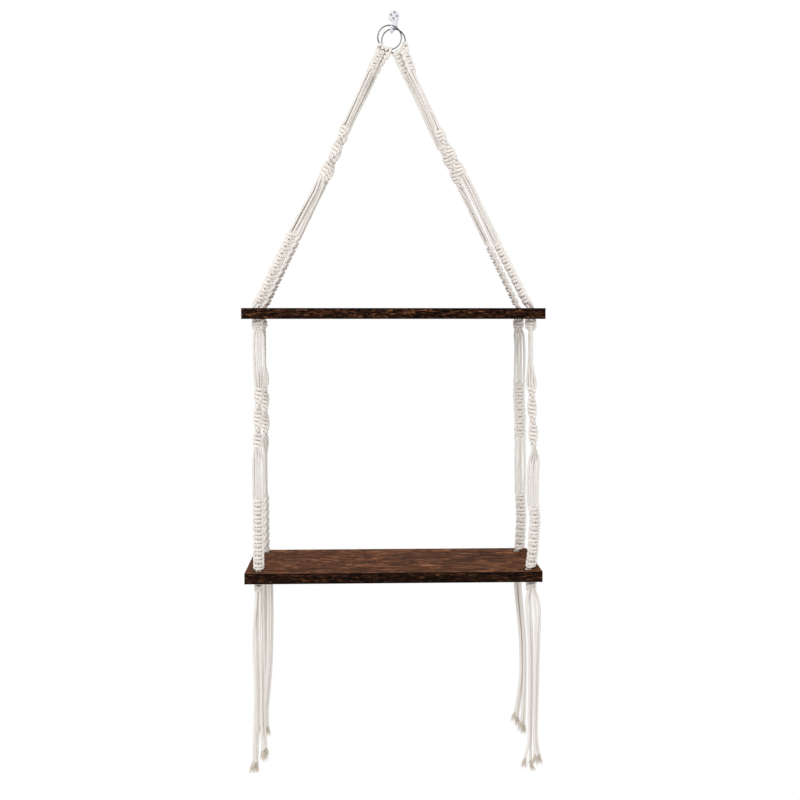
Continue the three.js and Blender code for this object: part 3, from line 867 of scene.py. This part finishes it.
def add_upper_leg(leg):
    board_top = upper_high[2]
    top, foot = leg_top(leg), at_hole(leg, board_top)
    axes = leg_axes(top, foot)
    hole = at_hole(leg, 0)
    runs, angle_at = upper_runs(leg, np.linalg.norm(foot - top))
    lanes = [placed(twisted(run, angle_at), top, axes) for run in runs]
    lowest = board_top + KNOT_RADIUS + BOARD_GAP
    for (points, _), run in zip(lanes, runs):
        points[:, 0] += bend(leg["bends"], run[:, 1])
        outside = np.hypot(*(points - hole)[:, :2].T) > HOLE_CLEAR_RADIUS
        points[outside & (points[:, 2] < lowest), 2] = lowest
    wraps = head_wraps(leg)
    rope = Rope("knotted_upper_leg_" + leg["name"])
    order = in_hole_order([points[-1] for points, _ in lanes], hole)
    for pair in ((0, 1), (2, 3)):
        sides = []
        for lane in pair:
            points, radii = lanes[lane]
            x, y = IN_HOLE[order[lane]]
            inside = hole + np.array([[x * share, y * share, board_top + rise] for share, rise in HOLE_ROUTE])
            sides.append((np.vstack([points, inside]),
                          np.concatenate([radii, np.full(len(inside), CORD_RADIUS)])))
        (up, up_radii), (down, down_radii) = sides
        loop = head_path(*(wraps[lane] for lane in pair))
        path = np.vstack([up[::-1], loop, down])
        sizes = np.concatenate([up_radii[::-1], np.full(len(loop), HEAD_RADIUS), down_radii])
        rope.add(*resampled(path, sizes), depth=UPPER_LOBE_DEPTH)
    piece = rope.build(cotton)
    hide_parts("larks_head_" + leg["name"], "upper_leg_" + leg["name"])
    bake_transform(piece)


def middle_runs(leg, length):
    """A middle leg's knots and strands, and how they are turned."""
    knots_from = leg["middle_knots"]
    room = length - MIDDLE_FOOT_ROOM - knots_from
    count = round(room / KNOT_PITCH)
    start, end = MIDDLE_SPIRAL_FROM, MIDDLE_SPIRAL_END
    root = [np.array([[x * across, down, z * through + splay * share, CORD_RADIUS]
                      for across, through, down, share in MIDDLE_ROOT])
            for (x, z), splay in zip(ROW, ROOT_SPLAY)]
    face = leg["middle_face"]
    if leg["middle_spin"]:
        spin = leg["middle_spin"]
        middle = half_knots(start, end, MIDDLE_SPIRAL_HALF_KNOTS, MIDDLE_SPIRAL_WIDTH)
    else:
        spin = (face, face)
        pitch = (end - start) / FLAT_STRETCH_KNOTS
        middle = square_knots(start, pitch, FLAT_STRETCH_KNOTS, FLAT_STRETCH_WIDTH)
    runs = [
        root,
        loose_strands(MIDDLE_STRANDS_FROM, start, ROW, MIDDLE_SWAY),
        middle,
        loose_strands(end, knots_from, ROW, MIDDLE_SWAY),
        square_knots(knots_from, room / count, count, MIDDLE_KNOT_WIDTH),
        [np.array([[x * TIP_SHARE, length - TIP_ABOVE_FOOT, 0.0, KNOT_RADIUS]]) for x, _ in ROW],
    ]
    return chained(runs), winding(face, MIDDLE_STRANDS_FROM, start, end, knots_from, spin, leg["turn"])


def add_middle_leg(leg):
    top, foot = at_hole(leg, under_upper_board), at_hole(leg, lower_high[2])
    axes = leg_axes(top, foot)
    length = np.linalg.norm(foot - top)
    foot_round = joint_place("lower_board_level")[2] - foot[2]
    runs, angle_at = middle_runs(leg, length)
    rope = Rope("knotted_middle_leg_" + leg["name"])
    for run in runs:
        drop = np.clip((run[:, 1] - (length - foot_round)) / foot_round, 0, 1)
        run[:, 0] *= 1 - FOOT_NARROWING * drop**FOOT_CORNER
        run[:, 2] *= 1 + FOOT_SWELL * drop**2
        points, radii = placed(twisted(run, angle_at), top, axes)
        points[:, 0] += bend(leg["middle_bends"], run[:, 1])
        room_below = foot_round - radii - BOARD_GAP
        off = np.abs(points[:, 0] - foot[0])
        lowest = np.minimum(room_below, (room_below - off * math.sin(SWAY)) / math.cos(SWAY))
        points[:, 2] = np.maximum(points[:, 2], foot[2] + foot_round - lowest)
        rope.add(*resampled(points, radii))
    piece = rope.build(cotton)
    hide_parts("middle_leg_" + leg["name"])
    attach(piece, "left_legs" if leg["side"] < 0 else "right_legs")


# The knot under a board: its cords come down through the hole and loop round each other
def add_stopper(leg, tier, board_low, body):
    rope = Rope(f"{tier}_stopper_knot_{leg['name']}")
    shift, width = leg["low_knot"] if tier == "lower" else (leg["middle_bends"][0][1], UPPER_STOPPER_WIDTH)
    turn = math.radians(leg["turn"] + random.uniform(-STOPPER_TURN, STOPPER_TURN))
    tilt = math.radians(random.uniform(-STOPPER_TILT, STOPPER_TILT))
    across = np.array([math.cos(turn), math.sin(turn), 0])
    through = np.array([-math.sin(turn), math.cos(turn), 0])
    axes = (across, np.array([0, 0, -1.0]), through)
    plug = PLUG_BELOW_TOP[tier] - thickness
    knot = square_knots(STOPPER_FROM[tier], STOPPER_PITCH, 1, width)
    for corner, lane in zip(STOPPER_ORDER, knot):
        x, z = IN_HOLE[corner]
        lane[:, 1] += np.sin(tilt) * lane[:, 0]
        hole = np.array([[x, down, z, CORD_RADIUS] for down in (plug, plug + 1, STOPPER_ENTRY)])
        end = lane[-1] * STOPPER_END_SHARES + STOPPER_END_DROP
        points, radii = placed(np.vstack([hole, lane, end]), at_hole(leg, board_low[2]), axes)
        points[len(hole):, 0] += shift
        rope.add(*resampled(points, radii))
    piece = rope.build(cotton)
    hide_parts(f"{tier}_stopper_{leg['name']}")
    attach(piece, body)


# Rings and hook
def hook_head(spin):
    """The round head: rows from its back to its front, closed by a middle point at each end."""
    radius, depth, rounding = HOOK_HEAD_RADIUS, HOOK_HEAD_THICKNESS, HOOK_HEAD_ROUNDING
    corner = [(math.cos(a), math.sin(a)) for a in np.radians(HOOK_HEAD_CORNER)]
    outline = [(radius, 0), *[(radius + rounding * (x - 1), depth + rounding * (y - 1)) for x, y in corner]]
    vertices = [(across * math.cos(a), -forward, across * math.sin(a))
                for across, forward in outline for a in spin]
    faces = tube_faces(0, len(outline), HOOK_SIDES)
    back, last_row = len(vertices), len(vertices) - HOOK_SIDES
    for k in range(HOOK_SIDES):
        after = (k + 1) % HOOK_SIDES
        faces += [(back, after, k), (back + 1, last_row + k, last_row + after)]
    return [*vertices, (0, 0, 0), (0, -depth, 0)], faces


def hook_stem(spin, first):
    """The flat stem that narrows to the bar on which the rings rest, with its vertices counted from first."""
    stem = smooth_curve([place for place, _ in HOOK_STEM])
    halves = smooth_curve([(half, 0, 0) for _, half in HOOK_STEM])[:, 0]
    bow = np.linspace(0, math.pi / 2, HOOK_TIP_ROWS)[1:]
    tip = stem[-1] + HOOK_BAR_RADIUS * np.sin(bow)[:, None] * unit(stem[-1] - stem[-2])
    depths = np.concatenate([np.full(len(halves), HOOK_BAR_RADIUS), HOOK_BAR_RADIUS * np.cos(bow)])
    halves = np.concatenate([halves, halves[-1] * np.cos(bow)])
    stem = np.vstack([stem, tip])
    tangents = units(np.gradient(stem, axis=0))
    wide = units(np.array([1.0, 0, 0]) - tangents * tangents[:, :1])
    deep = np.cross(tangents, wide)
    vertices = [tuple(stem[i] + halves[i] * math.cos(a) * wide[i] + depths[i] * math.sin(a) * deep[i])
                for i in range(len(stem)) for a in spin]
    root = tuple(first + k for k in reversed(range(HOOK_SIDES)))
    return vertices, [*tube_faces(first, len(stem), HOOK_SIDES), root]


def add_moulded_hook():
    spin = np.linspace(0, 2 * math.pi, HOOK_SIDES, endpoint=False)
    vertices, faces = hook_head(spin)
    stem_vertices, stem_faces = hook_stem(spin, len(vertices))
    piece = add_mesh("moulded_hook", vertices + stem_vertices, faces + stem_faces, plastic)
    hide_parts("wall_hook")
    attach(piece, "wall_hook")


def add_ring(side):
    centre = rings[side]
    vertices = [
        (centre[0] + (ring_radius + WIRE_RADIUS * math.cos(s)) * math.sin(a),
         centre[1] + WIRE_RADIUS * math.sin(s),
         centre[2] + (ring_radius + WIRE_RADIUS * math.cos(s)) * math.cos(a))
        for a in np.linspace(0, 2 * math.pi, RING_STEPS, endpoint=False)
        for s in np.linspace(0, 2 * math.pi, WIRE_SIDES, endpoint=False)
    ]
    faces = tube_faces(0, RING_STEPS, WIRE_SIDES, closed=True)
    piece = add_mesh("wire_ring_" + side, vertices, faces, ring_metal)
    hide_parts("ring_" + side)
    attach(piece, "rings")


# Boards and nails keep the frame's own solids, with eased edges
def dress(node, material, edge):
    piece = frame["nodes"][node]
    piece.data.materials.clear()
    piece.data.materials.append(material)
    width, angle = edge
    bevel = piece.modifiers.new("eased_edges", "BEVEL")
    bevel.width = width
    bevel.segments = EDGE_SEGMENTS
    bevel.limit_method = "ANGLE"
    bevel.angle_limit = math.radians(angle)


# Floor, light and background
def add_floor():
    material, _, _, shader = new_material("pale_floor")
    set_values(shader, Base_Color=(0.86, 0.86, 0.86, 1), Roughness=0.8)
    floor = add_mesh("floor", FLOOR_CORNERS, [(0, 1, 2, 3)], material, scale=1, smooth=False)


def add_lamp(name, place, target, size, power):
    data = bpy.data.lights.new(name, "AREA")
    data.size = size
    data.energy = power
    lamp = bpy.data.objects.new(name, data)
    heading = Vector(target) - Vector(place)
    lamp.matrix_world = Matrix.Translation(place) @ heading.to_track_quat("-Z", "Y").to_matrix().to_4x4()
    bpy.context.scene.collection.objects.link(lamp)


def add_world():
    """White where it is seen, mirrored or looked through, and a little dimmer as a light."""
    world = bpy.data.worlds.new("studio")
    bpy.context.scene.world = world
    world.use_nodes = True
    nodes, links = world.node_tree.nodes, world.node_tree.links
    nodes.clear()
    light = add_node(nodes, "ShaderNodeBackground", Strength=WORLD_LIGHT, Color=(1, 1, 1, 1))
    white = add_node(nodes, "ShaderNodeBackground", Strength=WORLD_WHITE, Color=(1, 1, 1, 1))
    rays = add_node(nodes, "ShaderNodeLightPath")
    shown = rays.outputs["Is Camera Ray"]
    for kind in ("Is Glossy Ray", "Is Transmission Ray"):
        either = add_node(nodes, "ShaderNodeMath", operation="MAXIMUM")
        links.new(shown, either.inputs[0])
        links.new(rays.outputs[kind], either.inputs[1])
        shown = either.outputs["Value"]
    surface = add_node(nodes, "ShaderNodeMixShader")
    links.new(shown, surface.inputs[0])
    links.new(light.outputs[0], surface.inputs[1])
    links.new(white.outputs[0], surface.inputs[2])
    out = add_node(nodes, "ShaderNodeOutputWorld")
    links.new(surface.outputs[0], out.inputs["Surface"])


add_camera()
for leg in LEGS:
    for number in range(len(leg["tails"])):
        add_tail(leg, number)
for leg in LEGS:
    add_upper_leg(leg)
    add_stopper(leg, "upper", upper_low, "upper_tier")
    add_middle_leg(leg)
    add_stopper(leg, "lower", lower_low, "lower_tier")
add_moulded_hook()
for side in ("left", "right"):
    add_ring(side)
for tier, high, streaks in (("upper", upper_high, UPPER_STREAKS), ("lower", lower_high, LOWER_STREAKS)):
    wood = wood_material(tier + "_wood", high[2] * MM, thickness * MM, streaks)
    dress(tier + "_board", wood, BOARD_EDGE)
for number in range(1, NAIL_COUNT + 1):
    dress(f"nail_{number}", nail_metal, NAIL_EDGE)
add_floor()
add_lamp("key", place=(-0.9, -1.7, 0.5), target=(0, -0.08, -0.5), size=1.2, power=11)
add_world()
bpy.context.scene.view_settings.view_transform = "Standard"
